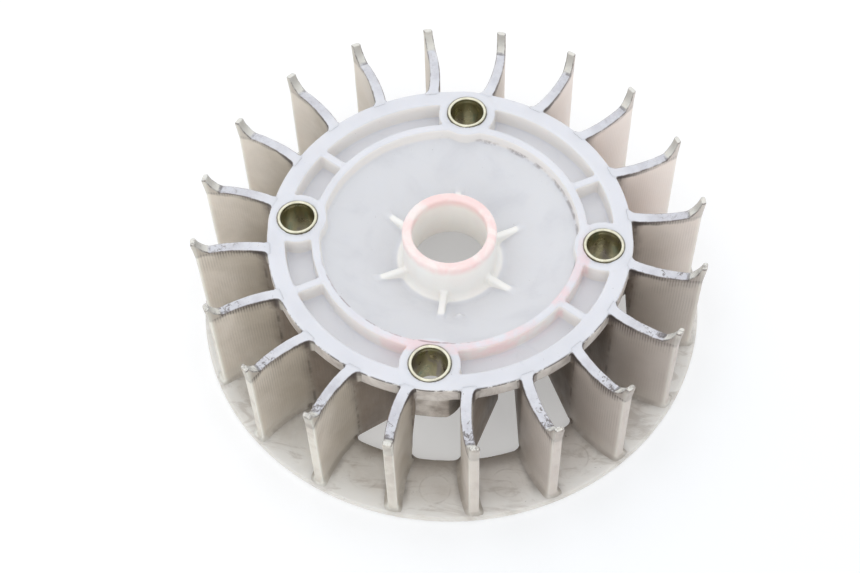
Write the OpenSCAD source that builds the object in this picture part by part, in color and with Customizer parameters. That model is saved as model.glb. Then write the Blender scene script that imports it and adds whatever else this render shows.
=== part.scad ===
// Centrifugal cooling fan wheel for a small air-cooled engine, bolted to the face of the flywheel.
// One nylon moulding, modelled feature by feature, and four pressed-in steel sleeves.
// Millimetres, +Z up. z = 0 is the underside of the shroud ring, which the wheel stands on.
// The wheel axis is Z and the four mounting bosses lie on the X and Y axes.

/* [Shroud ring] */
// Outside radius of the flat ring under the blades
ring_outer_r = 68.65; // [68:0.05:71]
// Radius of the air inlet inside the ring
ring_inner_r = 51.6; // [50.6:0.1:53]
// Thickness of the ring
ring_t = 1.8; // [1.4:0.1:2.4]

/* [Rim and channel] */
// Height of the rim top above the underside of the ring
rim_top = 32.4; // [31:0.2:35]
// Outside radius of the rim, where the blades start
rim_outer_r = 48.25; // [47.6:0.05:49]
// Height of the rim's outer face
skirt_h = 4.9; // [4:0.1:5.4]
// Outside radius of the channel
channel_outer_r = 43.5; // [43:0.1:44.5]
// Inside radius of the channel
channel_inner_r = 36.55; // [36.2:0.05:37]
// Depth of the channel below the rim top
channel_depth = 5.5; // [5:0.1:6.5]
// Thickness of the channel floor
floor_t = 2.0; // [1.6:0.1:2.4]
// Thickness of the four ribs across the channel
rib_t = 2.2; // [1.4:0.1:3]
// Angle from each rib to the nearest boss on the X axis
rib_angle = 31; // [28:0.5:36]

/* [Centre] */
// Radius where the dished plate meets the inner wall
dish_outer_r = 34.3; // [34:0.1:34.8]
// Thickness of the dished plate
dish_t = 2.0; // [1.6:0.1:2.4]
// Depth of the dish at its outer edge, below the rim top
dish_edge_drop = 3.5; // [3:0.1:4]
// Depth of the flat middle of the dish, below the rim top
dish_flat_drop = 12.2; // [11.4:0.1:12.6]
// Radius of the flat middle of the dish
dish_flat_r = 15.5; // [15:0.1:17]
// Outside radius of the hub tube
hub_outer_r = 12.6; // [12:0.1:13]
// Radius of the bore through the hub tube
hub_bore_r = 10.0; // [9:0.1:10.6]
// Height of the hub tube above the rim top
hub_proud = 0.5; // [0.2:0.1:2]
// Thickness of the six gussets round the hub
gusset_t = 1.8; // [1.2:0.1:2.4]
// Depth of the gusset tops below the rim top
gusset_drop = 9.5; // [8.5:0.1:10.2]

/* [Mounting bosses] */
// Diameter of the circle through the four bosses
boss_circle_d = 81.5; // [81:0.1:81.8]
// Outside diameter of a boss
boss_d = 15.6; // [15:0.1:16]
// Outside diameter of the boss's foot, below the channel floor, before it is cut flush with the rim
boss_foot_d = 17.6; // [16.4:0.1:18]
// Length of a boss, from the rim top down
boss_len = 14.0; // [11:0.5:16]
// Outside diameter of a steel sleeve
sleeve_d = 10.7; // [10.4:0.1:11.2]
// Bore of a steel sleeve, the clearance hole for an M8 bolt
sleeve_bore_d = 9.0; // [8.4:0.1:9.4]
// Height of a sleeve above the rim top
sleeve_proud = 0.5; // [0.2:0.1:1]

/* [Blades] */
// Radius of the blade tips
tip_r = 67.2; // [66.6:0.1:67.8]
// Radius of the blade's bow, seen from above
bow_r = 41.8; // [36:0.2:50]
// Thickness of a blade half way along
blade_t = 2.8; // [2.2:0.1:3.2]
// Radius of the fold line where the outer blade meets the inner fin
fold_r = 49.5; // [49.2:0.1:50.2]
// Angle of the inner fin to the radius through the tip
fin_angle = 24; // [22:0.5:26]
// Angle by which the fin's two faces spread apart towards its inner end
fin_spread = 7; // [0:0.5:8]
// Radius of the inner ends of the fins, along the radius through the tip
fin_inner_r = 32.8; // [32.8:0.1:36]
// Height of the raised ear on the tip of a blade
ear_h = 4.9; // [4:0.1:5.4]
// Radius where the ear starts to rise
ear_start_r = 63.4; // [63:0.1:64]
// Distance that the top of the ear leans out past the tip
ear_lean = 0.6; // [0.2:0.1:0.9]

/* [Hidden] */
$fn = 96;

blade_count = 20;
blade_pitch = 360 / blade_count;
// Angle of the first blade tip, measured from the boss on +X
blade_phase = 12;
// Every fifth blade has no fin, to clear the bolt end under its boss
clear_every = 5;

boss_r = boss_circle_d / 2;
boss_bottom = rim_top - boss_len;
floor_top = rim_top - channel_depth;
floor_bottom = floor_top - floor_t;
skirt_bottom = rim_top - skirt_h;
dish_edge_top = rim_top - dish_edge_drop;
dish_flat_top = rim_top - dish_flat_drop;
hub_bottom = dish_flat_top - dish_t;
hub_top = rim_top + hub_proud;
ear_top = rim_top + ear_h;

// Thickness lost by a blade from root to tip, as a sideways shift between its two faces
taper_shift = 0.67;
bow_mid_r = (rim_outer_r + tip_r) / 2 + 0.13;
// Sideways position of the centre of the bow
bow_side = bow_r - 0.9;
face_out_r = bow_r + blade_t / 2;
face_in_r = bow_r - blade_t / 2;

// Sideways position of a blade's clockwise face at radius u
function face_cw(u) = bow_side - sqrt(pow(face_out_r, 2) - pow(u - bow_mid_r + taper_shift, 2));
// Sideways position of a blade's counter-clockwise face at radius u
function face_ccw(u) = bow_side - sqrt(pow(face_in_r, 2) - pow(u - bow_mid_r - taper_shift, 2));

// ---- Profiles, drawn with the radius along X and the height along Y ----

// Section of the dished plate
module dish_section() {
    polygon([
        [hub_outer_r, dish_flat_top],
        [dish_flat_r, dish_flat_top],
        [dish_outer_r, dish_edge_top],
        [dish_outer_r, dish_edge_top - dish_t],
        [dish_flat_r + 0.4, hub_bottom],
        [hub_outer_r, hub_bottom]
    ]);
}

// Section of the fillet at the foot of the hub, carried down into the dish
module foot_section() {
    fillet = 1.5;
    difference() {
        translate([hub_outer_r, dish_flat_top - 0.5]) square([fillet, fillet + 0.5]);
        translate([hub_outer_r + fillet, dish_flat_top + fillet]) circle(r = fillet);
    }
}

// Section of the rim, sloping down inside to join the channel floor
module rim_section() {
    edge = 0.4;
    polygon([
        [channel_outer_r, rim_top - edge],
        [channel_outer_r + edge, rim_top],
        [rim_outer_r - edge, rim_top],
        [rim_outer_r, rim_top - edge],
        [rim_outer_r, skirt_bottom],
        [channel_outer_r + 2.4, skirt_bottom],
        [channel_outer_r, floor_bottom]
    ]);
}

// Everything a blade stops under: the rim, and the channel floor inside it
module blade_ceiling_section() {
    top = ear_top + 5;
    polygon([
        [0, floor_bottom],
        [channel_outer_r, floor_bottom],
        [channel_outer_r + 2.4, skirt_bottom],
        [rim_outer_r, skirt_bottom],
        [rim_outer_r, top],
        [0, top]
    ]);
}

// Side view of a blade: flat top, raised ear and a tip that leans out at the top
module blade_side() {
    ramp_centre = [ear_start_r - 4.68, rim_top + 6.39];
    ramp_r = 7.92;
    chamfer = 0.45;
    // The profile runs past the underside, which is cut flat at z = 0
    past = 1;
    difference() {
        polygon([
            [fin_inner_r - 2, -past],
            [tip_r, -past],
            [tip_r, rim_top - 1],
            [tip_r + ear_lean, ear_top - chamfer],
            [tip_r + ear_lean - chamfer, ear_top],
            [ear_start_r + 3.1, ear_top],
            [ear_start_r, rim_top],
            [fin_inner_r - 2, rim_top]
        ]);
        translate(ramp_centre) circle(r = ramp_r);
    }
}

// ---- Shared solids ----

// Blank for the boss on the X axis: a post, and a wider foot under the channel floor and the rim
module boss_blank(above) {
    translate([boss_r, 0, boss_bottom + 1])
        cylinder(h = boss_len - 1 + above, d = boss_d);
    difference() {
        translate([boss_r, 0, boss_bottom])
            cylinder(h = skirt_bottom + 0.5 - boss_bottom, d = boss_foot_d);
        translate([0, 0, floor_bottom + 0.6])
            cylinder(h = channel_depth, r = channel_outer_r + 0.4);
    }
}

// The space taken by the four bosses, kept free in the features round them
module boss_spaces() {
    for (i = [0:3])
        rotate([0, 0, 90 * i])
            boss_blank(5);
}

// A ring cut between two radii and two heights
module ring_between(r_in, r_out, z_low, z_high) {
    translate([0, 0, z_low])
        difference() {
            cylinder(h = z_high - z_low, r = r_out);
            translate([0, 0, -1]) cylinder(h = z_high - z_low + 2, r = r_in);
        }
}

// Outer part of a blade, from the fold to past the tip, seen from above
module blade_outline() {
    intersection() {
        difference() {
            translate([bow_mid_r - taper_shift, bow_side]) circle(r = face_out_r);
            translate([bow_mid_r + taper_shift, bow_side]) circle(r = face_in_r);
        }
        translate([fold_r, -6]) square([tip_r - fold_r + 2, 12]);
    }
}

// Inner fin of a blade, from its end to just past the fold, seen from above.
// The clockwise side is set back a hair from the blade's face, which leaves a crease at the fold.
module fin_outline() {
    cw_slope = tan(fin_angle - fin_spread / 2);
    ccw_slope = tan(fin_angle + fin_spread / 2);
    low = face_cw(fold_r) + 0.05;
    high = face_ccw(fold_r + 0.2) + 0.2 * ccw_slope;
    run = fold_r - fin_inner_r;
    // Corners cut off at the inner end
    cut = 0.7;
    polygon([
        [fold_r, low],
        [fold_r + 1, (low + high) / 2],
        [fold_r + 1, high - ccw_slope],
        [fin_inner_r + cut, high + ccw_slope * (run - cut)],
        [fin_inner_r, high + ccw_slope * run - cut],
        [fin_inner_r, low + cw_slope * run + cut],
        [fin_inner_r + cut, low + cw_slope * (run - cut)]
    ]);
}

// Short root of a blade between the rim and the fold, for the blades with no fin
module root_outline() {
    slope = tan(fin_angle);
    low = face_cw(fold_r) + 0.05;
    high = face_ccw(fold_r + 0.2) + 0.2 * slope;
    run = 2.4;
    polygon([
        [fold_r, low],
        [fold_r + 1, (low + high) / 2],
        [fold_r + 1, high - slope],
        [fold_r - run, high + slope * run],
        [fold_r - run, low + slope * run]
    ]);
}

// ---- Parts of the moulding ----

// Flat ring under the blades, with the round marks left by the mould's ejector pins
module shroud_ring() {
    edge = 0.3;
    mark_r = 60.2;
    mark_depth = 0.15;
    color("ivory")
    difference() {
        rotate_extrude()
            polygon([
                [ring_inner_r, 0],
                [ring_outer_r - edge, 0],
                [ring_outer_r, edge],
                [ring_outer_r, ring_t - edge],
                [ring_outer_r - edge, ring_t],
                [ring_inner_r, ring_t]
            ]);
        for (i = [0:blade_count - 1])
            rotate([0, 0, blade_phase + blade_pitch * (i + 0.5)])
                translate([mark_r, 0, ring_t - mark_depth])
                    cylinder(h = 1, d = 8);
    }
}

// Rim that carries the outer blades, in four arcs between the bosses
module outer_rim() {
    color("ghostwhite")
    difference() {
        rotate_extrude() rim_section();
        boss_spaces();
    }
}

// Floor of the channel, in four arcs, with four ejector pin marks
module channel_floor() {
    mark_angle = 53.6;
    color("ghostwhite")
    difference() {
        ring_between(channel_inner_r, channel_outer_r, floor_bottom, floor_top);
        boss_spaces();
        for (side = [0, 180])
            for (turn = [-mark_angle, mark_angle])
                rotate([0, 0, side + turn])
                    translate([40, 0, floor_top - 0.15])
                        cylinder(h = 1, d = 5.5);
    }
}

// Four ribs across the channel, flush with the rim
module channel_ribs() {
    color("ghostwhite")
    for (side = [0, 180])
        for (turn = [-rib_angle, rib_angle])
            intersection() {
                ring_between(channel_inner_r, channel_outer_r, floor_top, rim_top - 0.3);
                rotate([0, 0, side + turn])
                    translate([channel_inner_r - 2, -rib_t / 2, floor_top])
                        cube([channel_outer_r - channel_inner_r + 4, rib_t, channel_depth]);
            }
}

// Wall between the channel and the dished plate, in four arcs
module inner_wall() {
    edge = 0.4;
    color("ghostwhite")
    difference() {
        rotate_extrude()
            polygon([
                [dish_outer_r, floor_bottom],
                [channel_inner_r, floor_bottom],
                [channel_inner_r, rim_top - edge],
                [channel_inner_r - edge, rim_top],
                [dish_outer_r + edge, rim_top],
                [dish_outer_r, rim_top - edge]
            ]);
        boss_spaces();
    }
}

// Dished plate from the inner wall down to the foot of the hub
module centre_dish() {
    color("aliceblue")
    difference() {
        union() {
            rotate_extrude() dish_section();
            rotate_extrude() foot_section();
        }
        boss_spaces();
    }
}

// Tube in the middle, open right through
module hub_tube() {
    lip = 0.45;
    color("linen")
    rotate_extrude()
        polygon([
            [hub_bore_r, hub_bottom],
            [hub_outer_r, hub_bottom],
            [hub_outer_r, hub_top - lip],
            [hub_outer_r - lip, hub_top],
            [hub_bore_r + lip, hub_top],
            [hub_bore_r, hub_top - lip]
        ]);
}

// Six level gussets from the hub out to the slope of the dish
module hub_gussets() {
    gusset_top = rim_top - gusset_drop;
    reach = dish_outer_r - hub_outer_r - 2;
    color("linen")
    for (i = [0:5])
        difference() {
            rotate([0, 0, 30 + 60 * i])
                translate([hub_outer_r - 1, -gusset_t / 2, dish_flat_top - 0.5])
                    cube([reach, gusset_t, gusset_top - dish_flat_top + 0.5]);
            rotate_extrude() foot_section();
            rotate_extrude()
                polygon([
                    [0, hub_bottom - 1],
                    [dish_outer_r + 1, hub_bottom - 1],
                    [dish_outer_r + 1, dish_edge_top],
                    [dish_outer_r, dish_edge_top],
                    [dish_flat_r, dish_flat_top],
                    [hub_outer_r, dish_flat_top],
                    [hub_outer_r, hub_top],
                    [0, hub_top]
                ]);
        }
}

// Boss number i, a thick tube that holds a steel sleeve, flush with the rim's outer face
module boss(i) {
    color("ghostwhite")
    rotate([0, 0, 90 * (i - 1)])
        difference() {
            intersection() {
                boss_blank(0);
                translate([0, 0, boss_bottom - 1]) cylinder(h = boss_len + 2, r = rim_outer_r);
            }
            translate([boss_r, 0, boss_bottom - 1]) cylinder(h = boss_len + 2, d = sleeve_d);
        }
}

// Blade number k, counted counter-clockwise from the boss on +X
module blade(k) {
    far = ear_top + 1;
    color("lightgray")
    difference() {
        rotate([0, 0, blade_phase + blade_pitch * (k - 1)])
            intersection() {
                linear_extrude(height = far)
                    union() {
                        blade_outline();
                        if (k % clear_every == 0) root_outline();
                        else fin_outline();
                    }
                translate([0, 10, 0])
                    rotate([90, 0, 0])
                        linear_extrude(height = 30)
                            blade_side();
            }
        rotate_extrude() blade_ceiling_section();
        ring_between(ring_inner_r, ring_outer_r, -1, ring_t);
        boss_spaces();
    }
}

// ---- Steel sleeves ----

// Sleeve number i, a plain tube with rounded lips
module sleeve(i) {
    lip = 0.25;
    top = rim_top + sleeve_proud;
    color("darkkhaki")
    rotate([0, 0, 90 * (i - 1)])
        translate([boss_r, 0, 0])
            rotate_extrude()
                polygon([
                    [sleeve_bore_d / 2, boss_bottom + lip],
                    [sleeve_bore_d / 2 + lip, boss_bottom],
                    [sleeve_d / 2 - lip, boss_bottom],
                    [sleeve_d / 2, boss_bottom + lip],
                    [sleeve_d / 2, top - lip],
                    [sleeve_d / 2 - lip, top],
                    [sleeve_bore_d / 2 + lip, top],
                    [sleeve_bore_d / 2, top - lip]
                ]);
}

shroud_ring();
outer_rim();
channel_floor();
channel_ribs();
inner_wall();
centre_dish();
hub_tube();
hub_gussets();
boss(1);  // boss_1
boss(2);  // boss_2
boss(3);  // boss_3
boss(4);  // boss_4
blade(1);  // blade_01
blade(2);  // blade_02
blade(3);  // blade_03
blade(4);  // blade_04
blade(5);  // blade_05
blade(6);  // blade_06
blade(7);  // blade_07
blade(8);  // blade_08
blade(9);  // blade_09
blade(10);  // blade_10
blade(11);  // blade_11
blade(12);  // blade_12
blade(13);  // blade_13
blade(14);  // blade_14
blade(15);  // blade_15
blade(16);  // blade_16
blade(17);  // blade_17
blade(18);  // blade_18
blade(19);  // blade_19
blade(20);  // blade_20
sleeve(1);  // sleeve_1
sleeve(2);  // sleeve_2
sleeve(3);  // sleeve_3
sleeve(4);  // sleeve_4
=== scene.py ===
import math

import bmesh
import bpy
import numpy as np
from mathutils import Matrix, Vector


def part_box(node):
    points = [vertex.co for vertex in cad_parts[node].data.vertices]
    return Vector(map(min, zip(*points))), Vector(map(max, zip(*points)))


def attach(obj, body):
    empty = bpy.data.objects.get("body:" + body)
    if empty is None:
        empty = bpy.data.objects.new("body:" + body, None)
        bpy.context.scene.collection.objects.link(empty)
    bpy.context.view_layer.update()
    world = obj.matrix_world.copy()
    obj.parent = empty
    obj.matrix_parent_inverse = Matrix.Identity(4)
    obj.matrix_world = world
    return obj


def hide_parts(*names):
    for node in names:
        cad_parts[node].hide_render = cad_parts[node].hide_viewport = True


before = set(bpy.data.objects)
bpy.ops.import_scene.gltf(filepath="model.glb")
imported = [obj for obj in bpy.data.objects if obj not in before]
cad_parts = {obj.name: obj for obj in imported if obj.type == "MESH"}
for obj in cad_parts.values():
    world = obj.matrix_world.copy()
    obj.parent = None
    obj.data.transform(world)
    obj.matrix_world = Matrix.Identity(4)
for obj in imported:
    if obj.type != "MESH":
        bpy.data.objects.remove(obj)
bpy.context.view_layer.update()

import openvdb
from mathutils import Matrix, Vector

MM = 0.001
PER_METRE = 1000.0

# ---- Sizes in millimetres, read from the frame where a node's box gives them ----


def top_of(node):
    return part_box(node)[1].z / MM


def bottom_of(node):
    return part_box(node)[0].z / MM


RIM_TOP = top_of("outer_rim")
EAR_TOP = top_of("blade_01")
HUB_TOP = top_of("hub_tube")
HUB_BOTTOM = bottom_of("hub_tube")
RING_TOP = top_of("shroud_ring")
RING_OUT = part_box("shroud_ring")[1].x / MM
BOSS_BOTTOM = bottom_of("boss_1")
BOSS_X = (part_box("sleeve_1")[0].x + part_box("sleeve_1")[1].x) / 2 / MM
BOSS_R = 7.8
BOSS_FOOT_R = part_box("boss_1")[1].y / MM
SLEEVE_R = (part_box("sleeve_1")[1].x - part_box("sleeve_1")[0].x) / 2 / MM
SLEEVE_TOP = top_of("sleeve_1")
SLEEVE_BORE_R = 4.5
RING_IN = 51.6
RIM_OUT = 48.25
SKIRT_BOTTOM = RIM_TOP - 4.9
CHANNEL_OUT = 43.5
CHANNEL_IN = 36.55
WALL_IN = 34.3
FLOOR_TOP = top_of("channel_floor")
FLOOR_BOTTOM = bottom_of("channel_floor")
DISH_EDGE = RIM_TOP - 3.5
DISH_FLAT = RIM_TOP - 12.2
DISH_FLAT_R = 15.5
DISH_TILT = (DISH_EDGE - DISH_FLAT) / (WALL_IN - DISH_FLAT_R)
DISH_T = 2.0
HUB_R = 12.6
HUB_BORE_R = 10.0
HAUNCH_RUN = 2.4
GUSSET_TOP = RIM_TOP - 9.5
GUSSET_T = 1.8
GUSSET_PITCH = 60
GUSSET_PHASE = 30
GUSSET_END_R = 24
RIB_ANGLE = 31
RIB_T = 2.2
# Gate mark on the dish, and ejector pin marks on the channel floor and the ring
GATE_R = 20.6
GATE_ANGLE = 284
CHANNEL_MARK_AT_R = 40
CHANNEL_MARK_ANGLE = 53.6
CHANNEL_MARK_R = 2.75
RING_MARK_AT_R = 60.2
RING_MARK_R = 4
# Blades: the ear at the tip starts at EAR_START and rises on an arc
TIP_R = 67.2
EAR_LEAN = 0.6
EAR_START = 63.0
EAR_ARC_R = 7.92
EAR_ARC_AT_R = 58.72
EAR_ARC_HEIGHT = 38.79
FOLD_R = 49.5
BLADE_COUNT = 20
BLADE_PITCH = 360 / BLADE_COUNT
BLADE_PHASE = 12
CLEAR_EVERY = 5

# ---- Signed distances: negative inside, in millimetres ----


def join(a, b, r):
    """Union with a concave fillet of radius r."""
    u, v = np.maximum(r - a, 0), np.maximum(r - b, 0)
    return np.maximum(r, np.minimum(a, b)) - np.sqrt(u * u + v * v)


def meet(a, b, r):
    """Intersection with a convex edge of radius r."""
    u, v = np.maximum(r + a, 0), np.maximum(r + b, 0)
    return np.minimum(-r, np.maximum(a, b)) + np.sqrt(u * u + v * v)


def box2(x, y, x0, x1, y0, y1, edge=0.0):
    """Rectangle with rounded corners."""
    dx = np.abs(x - (x0 + x1) / 2) - (x1 - x0) / 2 + edge
    dy = np.abs(y - (y0 + y1) / 2) - (y1 - y0) / 2 + edge
    outside = np.sqrt(np.maximum(dx, 0) ** 2 + np.maximum(dy, 0) ** 2)
    return outside + np.minimum(np.maximum(dx, dy), 0) - edge


def mesh_of(name, distance, low, high, step, adapt):
    """A closed mesh of the surface where distance(x, y, z) is zero, inside the box low to high.

    step is the grid's spacing, and adapt is how far flat stretches may be merged.
    """
    axes = [np.arange(a - 2 * step, b + 2.5 * step, step) for a, b in zip(low, high)]
    x = axes[0][:, None].astype(np.float32)
    y = axes[1][None, :].astype(np.float32)
    values = np.empty([len(a) for a in axes], np.float32)
    for i, z in enumerate(axes[2]):
        values[:, :, i] = distance(x, y, np.float32(z))
    grid = openvdb.FloatGrid(background=3.0)
    grid.copyFromArray(np.clip(values / step, -3, 3))
    points, triangles, quads = grid.convertToPolygons(isovalue=0.0, adaptivity=adapt)
    points = (points * step + [a[0] for a in axes]) * MM
    mesh = bpy.data.meshes.new(name)
    faces = [tuple(t) for t in triangles.tolist()] + [tuple(q) for q in quads.tolist()]
    mesh.from_pydata(points.tolist(), [], faces)
    mesh.validate()
    work = bmesh.new()
    work.from_mesh(mesh)
    bmesh.ops.dissolve_degenerate(work, dist=1e-6, edges=work.edges)
    bmesh.ops.recalc_face_normals(work, faces=work.faces)
    work.to_mesh(mesh)
    work.free()
    mesh.shade_smooth()
    return mesh


def revolved_section(r, z):
    """The rim, channel, wall, dish and hub as one section of revolution."""
    rim = box2(r, z, CHANNEL_OUT, RIM_OUT, SKIRT_BOTTOM, RIM_TOP, 0.45)
    haunch_rise = SKIRT_BOTTOM - FLOOR_BOTTOM
    slope = (z - FLOOR_BOTTOM) * -HAUNCH_RUN + (r - CHANNEL_OUT) * haunch_rise
    slope = slope / math.hypot(HAUNCH_RUN, haunch_rise)
    haunch = np.maximum(box2(r, z, CHANNEL_OUT, RIM_OUT - 1, FLOOR_BOTTOM, SKIRT_BOTTOM + 1), slope)
    floor = box2(r, z, WALL_IN + 0.6, CHANNEL_OUT + 0.8, FLOOR_BOTTOM, FLOOR_TOP)
    wall = box2(r, z, WALL_IN, CHANNEL_IN, FLOOR_BOTTOM, RIM_TOP, 0.5)
    cone = DISH_FLAT + (r - DISH_FLAT_R) * DISH_TILT
    along = 1 / math.sqrt(1 + DISH_TILT * DISH_TILT)
    top = (z - np.maximum(cone, DISH_FLAT)) * along
    under = (np.maximum(cone, DISH_FLAT) - DISH_T - z) * along
    dish = np.maximum(np.maximum(top, under), np.maximum(r - WALL_IN - 0.8, HUB_BORE_R + 0.8 - r))
    hub = box2(r, z, HUB_BORE_R, HUB_R, HUB_BOTTOM, HUB_TOP, 0.7)
    hub = np.minimum(hub, box2(r, z, HUB_BORE_R, HUB_R, HUB_BOTTOM, HUB_TOP - 3, 0.3))
    body = join(np.minimum(rim, haunch), floor, 0.7)
    body = join(body, wall, 0.7)
    body = join(body, dish, 0.9)
    return join(body, hub, 1.5)


def make_body_distance():
    """The whole upper body: the revolved section, bosses, ribs and gussets."""
    radii = np.arange(0, 72, 0.08)
    levels = {}

    def distance(x, y, z):
        z = float(z)
        r = np.sqrt(x * x + y * y)
        if z not in levels:
            levels[z] = revolved_section(radii, np.full_like(radii, z))
        d = np.interp(r, radii, levels[z]).astype(np.float32)
        ax, ay = np.abs(x) + 0 * y, np.abs(y) + 0 * x
        # One rib stands for all four
        a = math.radians(RIB_ANGLE)
        side = ax * -math.sin(a) + ay * math.cos(a)
        out = ax * math.cos(a) + ay * math.sin(a)
        rib = box2(side, z, -RIB_T / 2, RIB_T / 2, FLOOR_BOTTOM + 0.5, RIM_TOP - 0.3, 0.4)
        rib = np.maximum(rib, np.maximum(WALL_IN + 1 - out, out - CHANNEL_OUT - 1.2))
        d = join(d, rib, 0.7)
        # One gusset stands for all six
        pitch = math.radians(GUSSET_PITCH)
        turn = np.arctan2(y + 0 * x, x + 0 * y) - math.radians(GUSSET_PHASE)
        turn = turn - np.round(turn / pitch) * pitch
        across = r * np.sin(turn)
        gusset = box2(across, z, -GUSSET_T / 2, GUSSET_T / 2, DISH_FLAT - 1, GUSSET_TOP, 0.35)
        gusset = np.maximum(gusset, np.maximum(HUB_BORE_R + 1 - r, r - GUSSET_END_R))
        d = join(d, gusset, 0.8)
        # One boss stands for all four
        bx, by = np.maximum(ax, ay), np.minimum(ax, ay)
        p = np.sqrt((bx - BOSS_X) ** 2 + by * by)
        boss = box2(p, z, -BOSS_R, BOSS_R, BOSS_BOTTOM + 1, RIM_TOP, 0.5)
        foot_top = np.where(r > CHANNEL_OUT + 1, SKIRT_BOTTOM + 0.5, FLOOR_BOTTOM + 0.5)
        foot = box2(p, z, -BOSS_FOOT_R, BOSS_FOOT_R, BOSS_BOTTOM, SKIRT_BOTTOM + 2, 0.25)
        foot = np.maximum(foot, z - foot_top)
        boss = meet(np.minimum(boss, foot), r - RIM_OUT, 0.3)
        d = join(d, boss, 0.8)
        d = meet(d, SLEEVE_R - p, 0.3)
        # Small smooth gate mark on the dish, near the hub
        a = math.radians(GATE_ANGLE)
        gate_x, gate_y = GATE_R * math.cos(a), GATE_R * math.sin(a)
        gate_z = DISH_FLAT + (GATE_R - DISH_FLAT_R) * DISH_TILT
        pip = np.sqrt((x - gate_x) ** 2 + (y - gate_y) ** 2 + ((z - gate_z) * 2.5) ** 2) - 1.1
        d = join(d, pip * 0.6, 0.4)
        # Shallow ejector pin marks on the channel floor
        a = math.radians(CHANNEL_MARK_ANGLE)
        mark_x, mark_y = CHANNEL_MARK_AT_R * math.cos(a), CHANNEL_MARK_AT_R * math.sin(a)
        mark = np.hypot(ax - mark_x, ay - mark_y) - CHANNEL_MARK_R
        mark = np.maximum(mark, FLOOR_TOP - 0.14 - z)
        return np.maximum(d, -np.maximum(mark, z - FLOOR_TOP - 0.6))

    return distance


# ---- Blade plan ----

BOW_R = 41.8
BLADE_T = 2.8
TAPER = 0.67
BOW_MID = (RIM_OUT + TIP_R) / 2 + 0.13
BOW_SIDE = BOW_R - 0.9
FIN_CW_SLOPE = math.tan(math.radians(20.5))
FIN_CCW_SLOPE = math.tan(math.radians(27.5))
FIN_INNER = 32.8
BARE_TOP = RIM_OUT - 1.4
BARE_FOOT = BARE_TOP + 3.4


def blade_faces(u, v):
    """Distances past a blade's clockwise and counter-clockwise faces, outside the fold."""
    cw = np.hypot(u - BOW_MID + TAPER, v - BOW_SIDE) - (BOW_R + BLADE_T / 2)
    ccw = (BOW_R - BLADE_T / 2) - np.hypot(u - BOW_MID - TAPER, v - BOW_SIDE)
    return cw, ccw


def face_side(u, out):
    """Where a face of the bowed blade lies at u: the clockwise face if out is true."""
    radius, shift = (BOW_R + BLADE_T / 2, TAPER) if out else (BOW_R - BLADE_T / 2, -TAPER)
    return BOW_SIDE - math.sqrt(radius**2 - (u - BOW_MID + shift) ** 2)


def blade_plan(u, v, inner_end):
    """Plan distance of a blade in its own frame: u outward through the tip, v counter-clockwise."""
    cw, ccw = blade_faces(u, v)
    low, high = face_side(FOLD_R, True), face_side(FOLD_R, False)
    fin_cw = (low + FIN_CW_SLOPE * (FOLD_R - u) - v) / math.hypot(1, FIN_CW_SLOPE)
    fin_ccw = (v - high - FIN_CCW_SLOPE * (FOLD_R - u)) / math.hypot(1, FIN_CCW_SLOPE)
    sides = np.where(u > FOLD_R, np.maximum(cw, ccw), np.maximum(fin_cw, fin_ccw))
    return meet(sides, inner_end - u, 0.9)


def make_blade_distance(fin):
    """One blade in its own frame, with or without the fin under the rim."""
    top = RIM_TOP - 0.03

    def distance(u, v, z):
        z = float(z)
        r = np.hypot(u, v)
        # A blade with no fin ends on a slope from the rim out to the edge of the ring
        bare_end = BARE_TOP + (BARE_FOOT - BARE_TOP) * min(max(1 - z / SKIRT_BOTTOM, 0.0), 1.0)
        plan = blade_plan(u, v, FIN_INNER if fin else bare_end)
        rise = (z - RIM_TOP + 1) / (EAR_TOP - RIM_TOP + 1)
        plan = meet(plan, u - TIP_R - EAR_LEAN * min(max(rise, 0.0), 1.0), 0.5)
        arc = EAR_ARC_R - np.hypot(u - EAR_ARC_AT_R, z - EAR_ARC_HEIGHT)
        ear = np.maximum(np.maximum(EAR_START - u, arc), z - EAR_TOP)
        side = np.minimum(z - top + 0 * u, ear) + 0 * v
        d = meet(plan, side, 0.45)
        d = meet(d, 0.02 - z + 0 * d, 0.25)
        # Fillets where the blade stands on the ring and where it leaves the rim
        near = np.abs(plan)
        foot = np.maximum(box2(r, z, RING_IN + 0.6, RING_OUT - 0.6, 0.9, RING_TOP - 0.02), near - 2.0)
        d = join(d, foot, 1.3)
        root = box2(r, z, RIM_OUT - 1.4, RIM_OUT - 0.03, SKIRT_BOTTOM + 0.3, RIM_TOP - 0.4)
        d = join(d, np.maximum(root, near - 1.8), 1.0)
        # Clear of the ring's lower skin, and of the body above the fin
        d = np.maximum(d, -np.maximum(RING_IN + 0.3 - r, z - 0.9))
        haunch = np.clip((r - CHANNEL_OUT) / HAUNCH_RUN, 0, 1)
        ceiling = FLOOR_BOTTOM + haunch * (SKIRT_BOTTOM - FLOOR_BOTTOM) + 0.6
        return np.maximum(d, -np.maximum(r - (RIM_OUT - 0.9), ceiling - z))

    return distance


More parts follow.
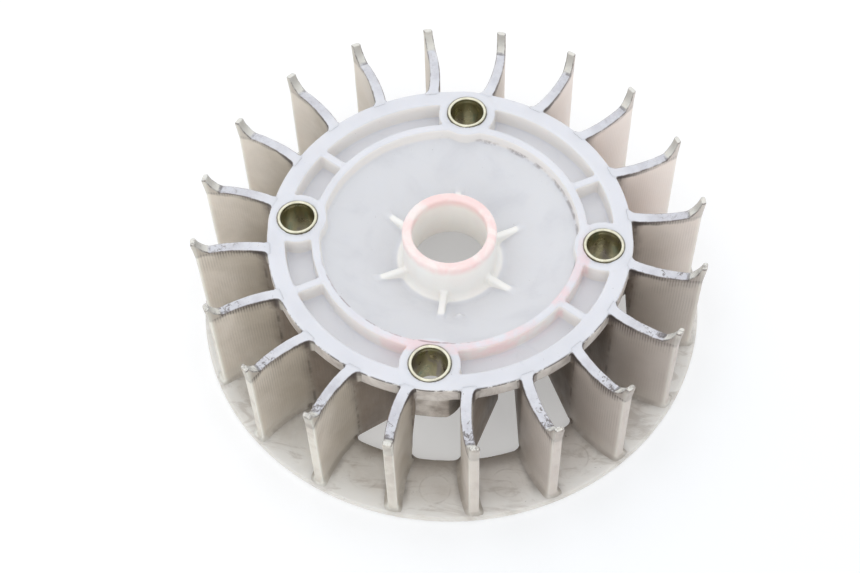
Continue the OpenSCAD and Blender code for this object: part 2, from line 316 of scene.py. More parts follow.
def ring_distance(x, y, z):
    """The shroud ring, filleted into the blades at its inner edge, with ejector pin marks."""
    z = float(z)
    r = np.hypot(x, y)
    turn = np.arctan2(y + 0 * x, x + 0 * y) - math.radians(BLADE_PHASE)
    pitch = math.radians(BLADE_PITCH)
    nearest = np.round(turn / pitch)
    d = RING_IN - r
    for shift in (-1, 0, 1):
        a = turn - (nearest + shift) * pitch
        u, v = r * np.cos(a), r * np.sin(a)
        bare = (nearest + shift + 1) % CLEAR_EVERY == 0
        plan = blade_plan(u, v, np.where(bare, BARE_FOOT + 0.4, FIN_INNER)) + 0.12
        d = join(d, np.maximum(plan, RING_IN - 6 - u), 2.2)
    flat = box2(0 * r, z, -9, 9, 0.0, RING_TOP)
    d = meet(meet(d, flat, 0.35), r - RING_OUT, 0.5)
    half = turn - pitch / 2
    half = half - np.round(half / pitch) * pitch
    mark = np.hypot(r * np.cos(half) - RING_MARK_AT_R, r * np.sin(half)) - RING_MARK_R
    mark = np.maximum(mark, RING_TOP - 0.09 - z)
    return np.maximum(d, -np.maximum(mark, z - RING_TOP - 0.6))


# ---- Node graphs ----


def linear(rgb):
    """Display colour, 0 to 255, to linear."""
    out = []
    for c in rgb:
        c = c / 255
        out.append(c / 12.92 if c <= 0.04045 else ((c + 0.055) / 1.055) ** 2.4)
    return (*out, 1.0)


class Graph:
    """Short names for the nodes that the materials are made of."""

    def __init__(self, name):
        self.material = bpy.data.materials.new(name)
        self.material.use_nodes = True
        self.nodes = self.material.node_tree.nodes
        self.links = self.material.node_tree.links
        self.shader = self.nodes["Principled BSDF"]
        self.place = self.nodes.new("ShaderNodeTexCoord").outputs["Object"]
        self.position = self.nodes.new("ShaderNodeNewGeometry").outputs["Position"]

    def feed(self, socket, value):
        if isinstance(value, bpy.types.NodeSocket):
            self.links.new(value, socket)
        else:
            socket.default_value = value

    def math(self, kind, a, b=0.0):
        n = self.nodes.new("ShaderNodeMath")
        n.operation = kind
        self.feed(n.inputs[0], a)
        self.feed(n.inputs[1], b)
        return n.outputs[0]

    def add(self, a, b):
        return self.math("ADD", a, b)

    def times(self, a, b):
        return self.math("MULTIPLY", a, b)

    def ramp(self, value, low, high, to_low=0.0, to_high=1.0):
        """Smooth step of value from low to high. Sizes are in millimetres when value is a length."""
        n = self.nodes.new("ShaderNodeMapRange")
        n.interpolation_type = "SMOOTHSTEP"
        self.feed(n.inputs["Value"], value)
        n.inputs["From Min"].default_value = low
        n.inputs["From Max"].default_value = high
        n.inputs["To Min"].default_value = to_low
        n.inputs["To Max"].default_value = to_high
        return n.outputs[0]

    def band(self, value, a, b, c, d):
        """Rises from a to b, falls from c to d."""
        return self.times(self.ramp(value, a, b), self.ramp(value, c, d, 1.0, 0.0))

    def split(self, vector):
        n = self.nodes.new("ShaderNodeSeparateXYZ")
        self.feed(n.inputs[0], vector)
        return n.outputs

    def stretch(self, vector, scale):
        n = self.nodes.new("ShaderNodeMapping")
        n.inputs["Scale"].default_value = scale
        self.feed(n.inputs["Vector"], vector)
        return n.outputs[0]

    def noise(self, scale, detail=4.0, rough=0.55, where=None, warp=0.0):
        n = self.nodes.new("ShaderNodeTexNoise")
        self.feed(n.inputs["Vector"], self.position if where is None else where)
        n.inputs["Scale"].default_value = scale
        n.inputs["Detail"].default_value = detail
        n.inputs["Roughness"].default_value = rough
        n.inputs["Distortion"].default_value = warp
        return n.outputs["Fac"]

    def mix(self, amount, a, b):
        n = self.nodes.new("ShaderNodeMix")
        n.data_type = "RGBA"
        self.feed(n.inputs["Factor"], amount)
        self.feed(n.inputs["A"], a)
        self.feed(n.inputs["B"], b)
        return n.outputs["Result"]

    def bump(self, height, depth, strength=1.0):
        n = self.nodes.new("ShaderNodeBump")
        n.inputs["Strength"].default_value = strength
        n.inputs["Distance"].default_value = depth
        self.feed(n.inputs["Height"], height)
        self.links.new(n.outputs[0], self.shader.inputs["Normal"])

    def set(self, **values):
        """Sets or links the shader's own sockets, with _ for a space in a name."""
        for name, value in values.items():
            self.feed(self.shader.inputs[name.replace("_", " ")], value)

    def radius_mm(self, parts):
        """Distance from the axis of the wheel."""
        squares = self.add(self.times(parts[0], parts[0]), self.times(parts[1], parts[1]))
        return self.times(self.math("SQRT", squares), PER_METRE)


def nylon(name, base, shift):
    """Milky nylon that lets a little light through, faintly mottled. shift moves the mottling."""
    g = Graph(name)
    cloud = g.noise(60 + shift, 3)
    g.colour = g.mix(g.ramp(cloud, 0.35, 0.7), linear(base), linear([c - 6 for c in base]))
    g.set(Roughness=0.42, IOR=1.53, Subsurface_Weight=0.35, Subsurface_Scale=0.003)
    g.shader.inputs["Subsurface Radius"].default_value = (1.0, 0.9, 0.8)
    g.normal = g.split(g.nodes.new("ShaderNodeTexCoord").outputs["Normal"])
    return g


def boss_distance(g, x, y):
    """Distance from the axis of the nearest of the four bosses."""
    ax, ay = g.math("ABSOLUTE", x), g.math("ABSOLUTE", y)
    bx = g.math("SUBTRACT", g.math("MAXIMUM", ax, ay), BOSS_X)
    by = g.math("MINIMUM", ax, ay)
    return g.math("SQRT", g.add(g.times(bx, bx), g.times(by, by)))


def body_material():
    """Pale nylon with pink stain on the hub and wall, and grime with painted shade under the rim."""
    g = nylon("nylon_body", (222, 223, 229), 0)
    parts = g.split(g.place)
    r = g.radius_mm(parts)
    x, y, z = (g.times(c, PER_METRE) for c in parts)
    facing = g.normal[2]
    # Painted light: upright faces are a warmer, lighter ivory than level ones, set by which way they face
    upright_painted_light = g.ramp(g.math("ABSOLUTE", facing), 0.3, 0.8, 1.0, 0.0)
    colour = g.mix(g.times(upright_painted_light, 0.8), g.colour, linear((238, 234, 229)))
    channel = g.times(g.ramp(z, FLOOR_TOP + 0.6, FLOOR_TOP + 0.2), g.band(r, 36.6, 37.2, 42.8, 43.4))
    colour = g.mix(g.times(channel, 0.6), colour, linear((228, 228, 232)))
    # Painted light: the hub and the gussets, which stand above the dish's slope, are painted nearly white,
    # standing in for light through the nylon
    raised = g.ramp(g.add(z, g.times(r, -0.463)), 13.3, 13.9)
    tube = g.ramp(r, 13.0, 14.6, 1.0, 0.0)
    gussets = g.times(raised, g.ramp(r, 24.0, 26.0, 1.0, 0.0))
    hub = g.times(g.math("MAXIMUM", tube, gussets), g.ramp(z, 17.0, 18.2))
    colour = g.mix(g.times(hub, 0.9), colour, linear((250, 248, 243)))
    # Cool plate with smoky patches
    plate = g.times(g.ramp(r, 13.5, 15.5), g.ramp(r, 33.6, 34.4, 1.0, 0.0))
    plate = g.times(plate, g.ramp(raised, 0.0, 1.0, 1.0, 0.0))
    smoke = g.ramp(g.noise(75, 5, 0.6, warp=0.4), 0.45, 0.72)
    colour = g.mix(g.times(plate, 0.75), colour, linear((219, 220, 223)))
    colour = g.mix(g.times(g.times(plate, smoke), 0.4), colour, linear((200, 201, 207)))
    # Pink stain on the hub's lip and down its outside, and on the wall towards the front right
    lip = g.times(g.ramp(z, 29.0, 32.3), g.ramp(r, 13.4, 14.2, 1.0, 0.0))
    patch = g.ramp(g.noise(150, 4, 0.6, warp=0.6), 0.34, 0.64, 0.4, 1.0)
    colour = g.mix(g.times(g.times(lip, patch), 0.72), colour, linear((248, 204, 204)))
    skin = g.times(g.ramp(r, 13.4, 14.6, 1.0, 0.0), g.ramp(g.noise(110, 3, 0.5), 0.4, 0.7))
    colour = g.mix(g.times(skin, 0.12), colour, linear((248, 215, 208)))
    front = g.ramp(g.add(g.times(x, 0.55), g.times(y, -0.85)), 8, 30)
    wall = g.times(g.band(r, 33.9, 34.3, 37.2, 38.5), g.ramp(z, 26.0, 29.0))
    stain = g.times(g.times(wall, front), g.ramp(g.noise(120, 4, 0.6), 0.38, 0.62))
    colour = g.mix(g.times(stain, 0.5), colour, linear((244, 201, 203)))
    # Thin broken dirt line in the crease between wall and plate: far right, and near left
    crease = g.band(r, 33.5, 34.0, 34.15, 34.5)
    crease = g.times(crease, g.band(z, DISH_EDGE - 0.9, DISH_EDGE - 0.3, DISH_EDGE + 0.5, DISH_EDGE + 1.1))
    far_right = g.ramp(g.add(g.times(x, 0.8), g.times(y, 0.6)), 12, 26)
    crease = g.times(g.times(crease, far_right), g.ramp(g.noise(240, 5, 0.7), 0.42, 0.6))
    colour = g.mix(g.times(crease, 0.55), colour, linear((112, 98, 100)))
    near_left = g.ramp(g.add(g.times(x, -0.4), g.times(y, -0.9)), 20, 33)
    edge = g.times(g.band(r, 34.25, 34.45, 34.65, 34.95), g.ramp(z, RIM_TOP - 1.0, RIM_TOP - 0.3))
    edge = g.times(g.times(edge, near_left), g.ramp(g.noise(260, 5, 0.7), 0.42, 0.58))
    colour = g.mix(g.times(edge, 0.6), colour, linear((120, 92, 96)))
    p = boss_distance(g, x, y)
    # Dark ring round each sleeve: grime with painted shade where the sleeve meets the nylon
    collar_grime_and_shade = g.ramp(g.add(p, g.times(g.noise(500, 3), 0.5)), SLEEVE_R + 0.35, SLEEVE_R + 0.65, 1.0, 0.0)
    colour = g.mix(g.times(collar_grime_and_shade, 0.6), colour, linear((128, 116, 94)))
    # Grime on the outside of the rim, and grime with painted shade on downward faces and everything under
    # the rim
    below = g.times(g.ramp(r, 32.0, 33.0), g.ramp(z, FLOOR_BOTTOM - 0.6, FLOOR_BOTTOM + 0.2, 1.0, 0.0))
    grime_and_shade_below = g.math("MAXIMUM", g.ramp(facing, -0.6, -0.2, 1.0, 0.0), below)
    grime_and_shade_below = g.times(grime_and_shade_below, g.ramp(r, 14.0, 15.5))
    post = g.times(g.ramp(p, 7.4, 7.7), g.ramp(z, SKIRT_BOTTOM - 0.5, SKIRT_BOTTOM, 1.0, 0.0))
    grime_and_shade_below = g.math("MAXIMUM", grime_and_shade_below, g.times(post, g.ramp(r, 44.0, 45.0)))
    outside = g.times(g.ramp(r, 47.7, 48.0), g.ramp(z, RIM_TOP - 0.6, RIM_TOP - 0.2, 1.0, 0.0))
    soot = g.ramp(g.noise(140, 5, 0.65, warp=0.5), 0.3, 0.75)
    grime_and_shade_tone = g.mix(soot, linear((150, 140, 126)), linear((84, 74, 65)))
    colour = g.mix(g.times(grime_and_shade_below, 0.85), colour, grime_and_shade_tone)
    skirt = g.mix(soot, linear((226, 219, 211)), linear((150, 137, 126)))
    colour = g.mix(g.times(outside, 0.8), colour, skirt)
    corner = g.band(z, RIM_TOP - 0.75, RIM_TOP - 0.5, RIM_TOP - 0.25, RIM_TOP - 0.02)
    line = g.times(g.ramp(r, 47.6, 47.9), corner)
    near = g.ramp(y, 5, -30)
    line = g.times(g.times(line, near), g.ramp(g.noise(300, 4, 0.7), 0.4, 0.55))
    colour = g.mix(g.times(line, 0.85), colour, linear((66, 58, 54)))
    # Specks of dirt on the level faces
    speck = g.ramp(g.noise(900, 2, 0.5), 0.74, 0.8)
    colour = g.mix(g.times(speck, 0.4), colour, linear((130, 120, 120)))
    g.set(Base_Color=colour)
    g.set(Roughness=g.ramp(g.noise(90, 4), 0.3, 0.7, 0.32, 0.5))
    g.bump(g.noise(420, 4, 0.6), 0.00012, 0.3)
    return g.material


def blade_material():
    """Dusty nylon, in each blade's own frame: u outward, h up. Grime goes by place on the wheel."""
    g = nylon("nylon_blade", (216, 211, 206), 3)
    parts = g.split(g.place)
    u, h = g.times(parts[0], PER_METRE), g.times(parts[2], PER_METRE)
    nu, nv, nh = g.normal
    world = g.split(g.position)
    wx, wy = g.times(world[0], PER_METRE), g.times(world[1], PER_METRE)
    # Grime is thickest on the blades at the front right and least at the far right
    near = g.ramp(wy, 34, -26)
    right = g.ramp(wx, -15, 30)
    grime = g.times(near, g.ramp(right, 0.0, 1.0, 0.55, 1.0))
    pale = g.times(right, g.ramp(near, 0.0, 0.7, 1.0, 0.0))
    high = g.ramp(h, 20, 24)
    up = g.times(g.ramp(nh, 0.45, 0.85), high)
    ear_face = g.ramp(g.add(nh, g.times(nu, -1.0)), 0.55, 0.9)
    ramp_face = g.times(ear_face, g.ramp(h, RIM_TOP - 0.3, RIM_TOP + 0.2))
    up = g.math("MAXIMUM", up, ramp_face)
    tip = g.ramp(nu, 0.6, 0.9)
    # Greige film, thicker towards the root, the top and the near right blades
    cloud = g.noise(70, 5, 0.6, warp=0.4)
    amount = g.add(g.ramp(u, 48, 67, 0.62, 0.2), g.times(cloud, 0.7))
    film = g.ramp(g.add(amount, g.times(grime, 0.25)), 0.4, 1.15)
    colour = g.mix(film, linear((226, 218, 207)), linear((184, 174, 159)))
    colour = g.mix(g.times(grime, g.times(right, 0.6)), colour, linear((166, 156, 152)))
    colour = g.mix(g.times(pale, 0.75), colour, linear((244, 233, 228)))
    low = g.times(g.ramp(h, 1.8, 10, 1.0, 0.0), g.ramp(grime, 0.0, 1.0, 0.7, 0.35))
    colour = g.mix(low, colour, linear((214, 209, 200)))
    # Brown grime in the root and on the fin
    root = g.ramp(g.add(u, g.times(g.noise(160, 4, 0.6), 4.5)), 50.2, 54.5, 1.0, 0.0)
    root = g.times(root, g.ramp(grime, 0.0, 0.6, 0.45, 0.8))
    colour = g.mix(root, colour, linear((122, 108, 96)))
    corner = g.add(g.math("SUBTRACT", u, 48.0), g.times(g.math("SUBTRACT", RIM_TOP, h), 0.55))
    corner = g.ramp(g.add(corner, g.times(g.noise(230, 5, 0.7), 6)), 4.2, 8.5, 1.0, 0.0)
    corner = g.times(corner, g.ramp(grime, 0.0, 0.5, 0.35, 0.9))
    colour = g.mix(corner, colour, linear((70, 61, 56)))
    fin = g.ramp(u, 47.5, 49.6, 1.0, 0.0)
    streak = g.noise(90, 5, 0.65, where=g.stretch(g.place, (1.0, 1.0, 0.25)), warp=0.3)
    fin_dirt = g.mix(g.ramp(streak, 0.3, 0.7), linear((150, 136, 122)), linear((88, 76, 67)))
    colour = g.mix(g.times(fin, 0.82), colour, fin_dirt)
    crease = g.times(g.band(u, 48.9, 49.4, 49.6, 50.1), g.ramp(g.noise(260, 4), 0.4, 0.62))
    colour = g.mix(g.times(crease, 0.55), colour, linear((66, 58, 54)))
    # Fine upright ribbing left by the mould, dark with soot just under the top edge
    wobble = g.times(g.noise(120, 2), 1.6)
    comb = g.math("SINE", g.add(g.times(u, 2 * math.pi / 0.72), wobble))
    teeth = g.ramp(comb, -0.1, 0.75)
    depth = g.math("SUBTRACT", RIM_TOP - 0.3, h)
    length = g.ramp(g.noise(140, 3), 0.35, 0.65, 0.6, 2.6)
    reach = g.math("DIVIDE", depth, g.times(length, g.ramp(grime, 0.0, 1.0, 0.5, 1.5)))
    hang = g.times(g.ramp(reach, 0.0, 1.6, 1.0, 0.0), g.ramp(depth, -0.3, 0.0))
    band = g.times(hang, g.ramp(teeth, 0.0, 1.0, 0.35, 1.0))
    band = g.times(band, g.ramp(g.noise(80, 3), 0.34, 0.56, 0.3, 1.0))
    band = g.times(band, g.ramp(grime, 0.0, 0.8, 0.3, 0.95))
    colour = g.mix(band, colour, linear((78, 69, 65)))
    lines = g.times(g.times(teeth, g.ramp(h, 4, 28, 0.1, 0.5)), g.ramp(g.noise(100, 4), 0.4, 0.62))
    colour = g.mix(g.times(lines, g.ramp(grime, 0.0, 0.8, 0.04, 0.55)), colour, linear((116, 106, 99)))
    # Light coming through the thin outer edge
    thin = g.times(g.ramp(u, TIP_R - 1.5, TIP_R - 0.3), g.ramp(right, 0.0, 1.0, 0.6, 0.3))
    colour = g.mix(thin, colour, linear((240, 240, 232)))
    blotch = g.ramp(g.noise(130, 5, 0.65), 0.42, 0.68)
    blotch = g.times(blotch, g.ramp(h, 2, 30, 0.4, 1.0))
    tip_colour = g.mix(blotch, linear((208, 203, 192)), linear((176, 166, 156)))
    tip_colour = g.mix(g.times(right, 0.6), tip_colour, linear((188, 176, 171)))
    colour = g.mix(g.times(tip, 0.85), colour, tip_colour)
    # Level top and the ramp of the ear: off-white, painted lighter and bluer than the sides for the light
    # from above, scuffed, with grit towards the ear
    worn = g.ramp(g.noise(300, 4, 0.7), 0.3, 0.7)
    top_lit_and_worn = g.mix(worn, linear((214, 215, 221)), linear((197, 197, 204)))
    top_lit_and_worn = g.mix(g.times(g.ramp(u, 63.2, 64.0), 0.8), top_lit_and_worn, linear((222, 220, 211)))
    top_lit_and_worn = g.mix(g.times(g.ramp(u, 49.0, 55.0, 1.0, 0.0), 0.8), top_lit_and_worn, linear((222, 223, 229)))
    grit = g.ramp(g.add(g.noise(640, 5, 0.75, warp=0.8), g.ramp(u, 52, 63, -0.1, 0.03)), 0.53, 0.6)
    grit = g.times(grit, g.ramp(u, 63.2, 64.4, 1.0, 0.35))
    top_lit_and_worn = g.mix(g.times(grit, g.ramp(grime, 0.0, 0.7, 0.15, 0.8)), top_lit_and_worn, linear((98, 90, 87)))
    colour = g.mix(up, colour, top_lit_and_worn)
    crust = g.ramp(g.noise(700, 6, 0.8, warp=1.0), 0.47, 0.58)
    crust = g.times(g.ramp(h, EAR_TOP - 1.7, EAR_TOP - 0.4), crust)
    colour = g.mix(g.times(crust, g.ramp(grime, 0.1, 0.8, 0.05, 0.6)), colour, linear((92, 84, 80)))
    kink = g.times(g.band(u, 62.9, 63.2, 63.6, 64.0), g.ramp(g.noise(330, 3), 0.42, 0.58))
    kink = g.times(kink, g.ramp(h, RIM_TOP - 0.9, RIM_TOP - 0.3))
    colour = g.mix(g.times(kink, 0.6), colour, linear((92, 86, 84)))
    # Dirt and painted shade along the rounded top edges, where they turn from the top to the sides
    side = g.ramp(g.math("ABSOLUTE", nv), 0.25, 0.5)
    top_edge_dirt_and_shade = g.times(g.times(g.band(nh, 0.15, 0.4, 0.75, 0.92), high), side)
    top_edge_dirt_and_shade = g.times(top_edge_dirt_and_shade, g.ramp(g.noise(300, 4, 0.7), 0.4, 0.58, 0.25, 1.0))
    colour = g.mix(g.times(top_edge_dirt_and_shade, 0.8), colour, linear((104, 95, 92)))
    # Black grime hanging from the top edge near the root
    lip = g.add(g.math("SUBTRACT", RIM_TOP - 0.1, h), g.times(g.noise(190, 4, 0.65), 3.0))
    lip = g.ramp(lip, 2.2, 3.2, 1.0, 0.0)
    lip = g.times(g.times(lip, g.ramp(u, 50.0, 60.0, 1.0, 0.35)), g.ramp(nh, 0.4, 0.8, 1.0, 0.0))
    colour = g.mix(g.times(lip, g.ramp(g.noise(70, 3), 0.36, 0.54, 0.3, 0.85)), colour, linear((62, 55, 53)))
    # Dirt in the corner where the blade stands on the ring
    foot = g.times(g.ramp(h, RING_TOP + 1.1, RING_TOP + 0.1), g.ramp(g.noise(150, 4, 0.6), 0.35, 0.62))
    colour = g.mix(g.times(foot, 0.55), colour, linear((142, 131, 120)))
    g.set(Base_Color=colour)
    g.set(Roughness=g.ramp(g.noise(120, 4), 0.3, 0.7, 0.42, 0.62))
    ridges = g.times(g.times(comb, 0.14), g.ramp(g.math("ABSOLUTE", nh), 0.2, 0.5, 1.0, 0.0))
    rough = g.add(g.noise(600, 4, 0.6), g.times(g.ramp(h, EAR_TOP - 2.5, EAR_TOP), g.noise(900, 4, 0.8)))
    g.bump(g.add(ridges, rough), 0.00014, 0.45)
    return g.material


def ring_material():
    """Stained nylon with dirt drifted along the feet of the blades."""
    g = nylon("nylon_ring", (226, 224, 219), 7)
    parts = g.split(g.place)
    r = g.radius_mm(parts)
    x, y = g.times(parts[0], PER_METRE), g.times(parts[1], PER_METRE)
    right = g.ramp(g.add(x, g.times(y, -0.25)), -25, 45)
    smudge = g.ramp(g.noise(65, 5, 0.62, warp=0.6), 0.4, 0.7)
    colour = g.mix(g.times(smudge, 0.45), g.colour, linear((190, 183, 174)))
    colour = g.mix(g.times(right, 0.3), colour, linear((212, 203, 198)))
    outer = g.ramp(g.add(r, g.times(g.noise(120, 4, 0.6), 5)), 63.5, 69.0)
    colour = g.mix(g.times(outer, 0.6), colour, linear((234, 233, 230)))
    swirl = g.noise(1.0, 5, 0.65, where=g.stretch(g.position, (70, 190, 1)), warp=1.2)
    colour = g.mix(g.times(g.ramp(swirl, 0.5, 0.66), 0.4), colour, linear((168, 158, 147)))
    # Brown dirt along the inner edge, drawn outwards
    inner = g.ramp(g.add(r, g.times(g.noise(150, 4, 0.6), 6)), 54.5, 59.5, 1.0, 0.0)
    colour = g.mix(g.times(inner, 0.6), colour, linear((140, 128, 116)))
    # Place within one blade pitch, measured from the blade's own radius
    turn = g.math("ARCTAN2", parts[1], parts[0])
    steps = g.math("DIVIDE", g.math("SUBTRACT", turn, math.radians(BLADE_PHASE)), math.radians(BLADE_PITCH))
    pitch = math.radians(BLADE_PITCH)
    own = g.times(g.math("SUBTRACT", g.math("FRACT", g.add(steps, 0.5)), 0.5), pitch)
    du = g.math("SUBTRACT", g.times(r, g.math("COSINE", own)), BOW_MID)
    dv = g.math("SUBTRACT", g.times(r, g.math("SINE", own)), BOW_SIDE)
    from_mid = g.math("SUBTRACT", g.math("SQRT", g.add(g.times(du, du), g.times(dv, dv))), BOW_R)
    away = g.add(g.math("ABSOLUTE", from_mid), g.times(g.noise(110, 5, 0.65), -5.5))
    drift = g.times(g.ramp(away, -1.2, 1.4, 1.0, 0.0), g.ramp(r, 60, 67.5, 1.0, 0.25))
    drift = g.times(drift, g.ramp(g.noise(48, 3), 0.36, 0.6, 0.35, 1.0))
    colour = g.mix(g.times(drift, 0.7), colour, linear((112, 100, 90)))
    # Painted shade: darker along the rounded outer edge, where it meets the floor
    edge = g.ramp(r, RING_OUT - 0.6, RING_OUT - 0.1)
    colour = g.mix(g.times(edge, 0.35), colour, linear((176, 168, 156)))
    # Faint darker ring round each ejector pin mark
    part = g.times(g.math("SUBTRACT", g.math("FRACT", steps), 0.5), pitch)
    px = g.math("SUBTRACT", g.times(r, g.math("COSINE", part)), RING_MARK_AT_R)
    py = g.times(r, g.math("SINE", part))
    p = g.math("SQRT", g.add(g.times(px, px), g.times(py, py)))
    mark = g.times(g.band(p, 3.7, 3.95, 4.05, 4.35), g.ramp(g.noise(200, 3), 0.42, 0.65))
    colour = g.mix(g.times(mark, 0.25), colour, linear((150, 141, 131)))
    speck = g.ramp(g.noise(800, 2, 0.5), 0.73, 0.8)
    colour = g.mix(g.times(speck, 0.55), colour, linear((118, 110, 104)))
    g.set(Base_Color=colour)
    g.set(Roughness=g.ramp(g.noise(100, 4), 0.3, 0.7, 0.34, 0.56))
    g.bump(g.noise(500, 4, 0.6), 0.0001, 0.35)
    return g.material


def sleeve_material():
    """Yellow zinc, rubbed bright on the lip, with a painted highlight there."""
    g = Graph("zinc_sleeve")
    x, y, z = (g.times(c, PER_METRE) for c in g.split(g.place))
    p = boss_distance(g, x, y)
    tint = g.noise(1.0, 4, 0.6, where=g.stretch(g.position, (260, 260, 120)), warp=0.8)
    colour = g.mix(g.ramp(tint, 0.3, 0.5), linear((150, 162, 134)), linear((182, 176, 140)))
    colour = g.mix(g.ramp(tint, 0.52, 0.7), colour, linear((164, 156, 146)))
    # The lip is rubbed bright, and lighter still as a painted highlight
    rubbed_and_highlit = g.ramp(g.noise(500, 4, 0.7), 0.35, 0.65)
    lip = g.times(g.ramp(z, SLEEVE_TOP - 0.5, SLEEVE_TOP - 0.15), g.ramp(rubbed_and_highlit, 0.0, 1.0, 0.7, 1.0))
    colour = g.mix(g.times(lip, 0.9), colour, linear((236, 233, 214)))
    # Dark ring at the sleeve's outer edge: grime with painted shade where it meets the nylon
    dirt = g.times(g.ramp(p, SLEEVE_R - 0.2, SLEEVE_R - 0.03), g.ramp(g.noise(350, 4), 0.3, 0.6))
    colour = g.mix(g.times(dirt, 0.5), colour, linear((110, 102, 80)))
    g.set(Base_Color=colour, Metallic=1.0)
    g.set(Roughness=g.ramp(g.noise(300, 4), 0.3, 0.7, 0.24, 0.42))
    turned = g.noise(1.0, 2, 0.5, where=g.stretch(g.position, (40, 40, 3000)))
    g.bump(g.add(g.times(turned, 0.6), g.times(g.noise(700, 3), 0.4)), 0.00006, 0.4)
    return g.material


# ---- Pieces ----


def piece(name, mesh, material, nodes, angle=0.0):
    """One visible piece, turned about the axis, that stands for the CAD nodes listed."""
    obj = bpy.data.objects.new(name, mesh)
    bpy.context.scene.collection.objects.link(obj)
    obj.matrix_world = Matrix.Rotation(math.radians(angle), 4, "Z")
    if not mesh.materials:
        mesh.materials.append(material)
    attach(obj, "root")
    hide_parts(*nodes)
    return obj


def sleeve_mesh():
    """A turned tube with rolled lips, a lathe of a rounded section."""
    low, top = bottom_of("sleeve_1"), SLEEVE_TOP
    inner, outer, lip = SLEEVE_BORE_R, SLEEVE_R, 0.36
    section = []
    for cx, cz, start in (
        (outer - lip, top - lip, 0), (inner + lip, top - lip, 90),
        (inner + lip, low + lip, 180), (outer - lip, low + lip, 270),
    ):
        for i in range(5):
            a = math.radians(start + 22.5 * i)
            section.append((cx + lip * math.cos(a), cz + lip * math.sin(a)))
    # Shallow rolled groove inside the mouth
    section.insert(10, (inner + 0.02, top - 1.4))
    section.insert(11, (inner + 0.08, top - 1.7))
    section.insert(12, (inner + 0.02, top - 2.0))
    turns = 96
    mesh = bpy.data.meshes.new("sleeve")
    work = bmesh.new()
    rows = []
    for k in range(turns):
        a = 2 * math.pi * k / turns
        around = [((BOSS_X + r * math.cos(a)) * MM, r * math.sin(a) * MM, z * MM) for r, z in section]
        rows.append([work.verts.new(place) for place in around])
    for k in range(turns):
        here, there = rows[k], rows[(k + 1) % turns]
        for i in range(len(section)):
            j = (i + 1) % len(section)
            work.faces.new((here[i], there[i], there[j], here[j]))
    bmesh.ops.recalc_face_normals(work, faces=work.faces)
    work.to_mesh(mesh)
    work.free()
    mesh.shade_smooth()
    return mesh


BODY_NODES = [
    "outer_rim", "channel_floor", "channel_ribs", "inner_wall", "centre_dish",
    "hub_tube", "hub_gussets", "boss_1", "boss_2", "boss_3", "boss_4",
]
FINE = 0.3
MERGE = 0.02

body_box = (-49, -49, BOSS_BOTTOM - 0.3), (49, 49, HUB_TOP + 0.3)
ring_box = (-RING_OUT, -RING_OUT, 0), (RING_OUT, RING_OUT, RING_TOP)
blade_box = (33, -5, 0), (TIP_R + EAR_LEAN, 10, EAR_TOP)
body_mesh = mesh_of("wheel_body", make_body_distance(), *body_box, FINE, MERGE)
ring_mesh = mesh_of("ring", ring_distance, *ring_box, FINE, MERGE)
fin_blade_mesh = mesh_of("fin_blade", make_blade_distance(True), *blade_box, FINE, MERGE)
bare_blade_mesh = mesh_of("bare_blade", make_blade_distance(False), *blade_box, FINE, MERGE)
tube_mesh = sleeve_mesh()

piece("wheel_body", body_mesh, body_material(), BODY_NODES)
piece("ring_plate", ring_mesh, ring_material(), ["shroud_ring"])
blade_look = blade_material()
for k in range(1, BLADE_COUNT + 1):
    shape = bare_blade_mesh if k % CLEAR_EVERY == 0 else fin_blade_mesh
    turn = BLADE_PHASE + BLADE_PITCH * (k - 1)
    piece(f"fan_blade_{k:02d}", shape, blade_look, [f"blade_{k:02d}"], turn)
sleeve_look = sleeve_material()
for k in range(1, 5):
    piece(f"bolt_sleeve_{k}", tube_mesh, sleeve_look, [f"sleeve_{k}"], 90 * (k - 1))

# ---- Floor, light and camera ----

FLOOR_HALF = 3.0
FLOOR_DROP = 0.0002

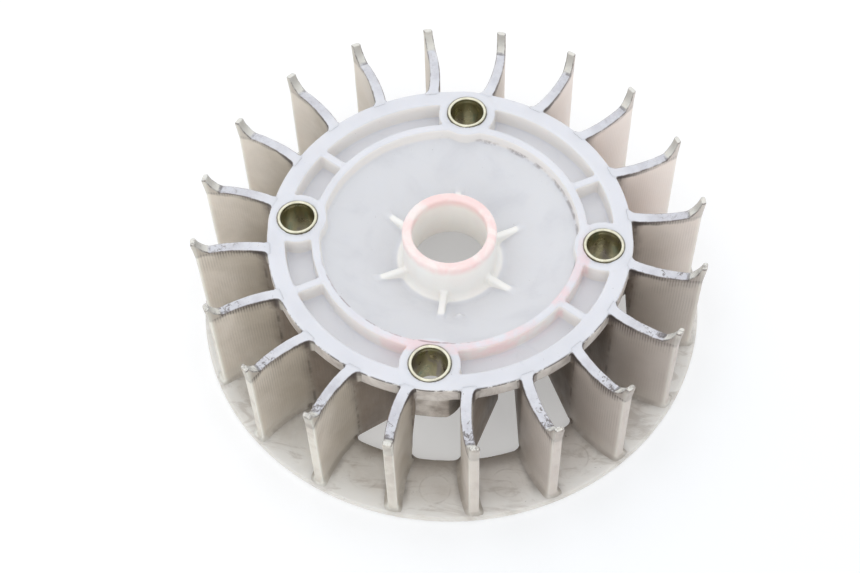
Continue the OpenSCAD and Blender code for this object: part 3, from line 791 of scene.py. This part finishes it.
floor_mesh = bpy.data.meshes.new("floor")
corners = [(a * FLOOR_HALF, b * FLOOR_HALF, 0) for a, b in ((-1, -1), (1, -1), (1, 1), (-1, 1))]
floor_mesh.from_pydata(corners, [], [(0, 1, 2, 3)])
floor = bpy.data.objects.new("floor", floor_mesh)
floor.location.z = -FLOOR_DROP
bpy.context.scene.collection.objects.link(floor)
paper = Graph("paper")
across = paper.split(paper.position)
shade = paper.ramp(paper.add(paper.times(across[0], 0.7), paper.times(across[1], -0.8)), -0.02, 0.14)
tone = paper.mix(shade, linear((212, 213, 215)), linear((202, 205, 209)))
hair = paper.noise(1.0, 3, 0.5, where=paper.stretch(paper.position, (60, 900, 1)), warp=2.5)
fleck = paper.times(paper.ramp(hair, 0.74, 0.8), paper.ramp(paper.noise(25, 2), 0.5, 0.62))
tone = paper.mix(paper.times(paper.times(fleck, shade), 0.35), tone, linear((150, 148, 142)))
paper.set(Base_Color=tone, Roughness=0.7, Emission_Color=(1.0, 0.99, 0.97, 1.0), Emission_Strength=0.36)
floor_mesh.materials.append(paper.material)

world = bpy.data.worlds.new("studio")
bpy.context.scene.world = world
world.use_nodes = True
world.node_tree.nodes["Background"].inputs["Color"].default_value = (0.97, 0.985, 1.0, 1.0)
world.node_tree.nodes["Background"].inputs["Strength"].default_value = 1.0


def soft_light(name, place, size, power, colour):
    """A square soft light that looks at the middle of the object's foot."""
    data = bpy.data.lights.new(name, "AREA")
    data.shape = "SQUARE"
    data.size = size
    data.energy = power
    data.color = colour
    lamp = bpy.data.objects.new(name, data)
    lamp.location = place
    aim = -Vector(place)
    lamp.rotation_euler = aim.to_track_quat("-Z", "Y").to_euler()
    bpy.context.scene.collection.objects.link(lamp)


soft_light("overhead", (-0.25, 0.45, 1.2), 1.2, 1.6, (1.0, 1.0, 1.0))
soft_light("front", (-0.3, -1.0, 0.45), 1.0, 1.6, (1.0, 0.99, 0.98))

LENS = 66.8
ROLL = -2.25

camera_data = bpy.data.cameras.new("camera")
camera_data.sensor_width = 36
camera_data.lens = LENS
camera_data.clip_start = 0.01
camera = bpy.data.objects.new("camera", camera_data)
eye = Vector((0.03329, -0.24186, 0.37574))
look_at = Vector((-0.00287, -0.01782, 0.03239))
ahead = (look_at - eye).normalized()
right = ahead.cross(Vector((0, 0, 1))).normalized()
up = right.cross(ahead)
roll = math.radians(ROLL)
roll_right = right * math.cos(roll) + up * math.sin(roll)
roll_up = up * math.cos(roll) - right * math.sin(roll)
turned = Matrix((roll_right, roll_up, -ahead)).transposed().to_4x4()
camera.matrix_world = Matrix.Translation(eye) @ turned
bpy.context.scene.collection.objects.link(camera)
bpy.context.scene.camera = camera
bpy.context.scene.view_settings.view_transform = "Standard"
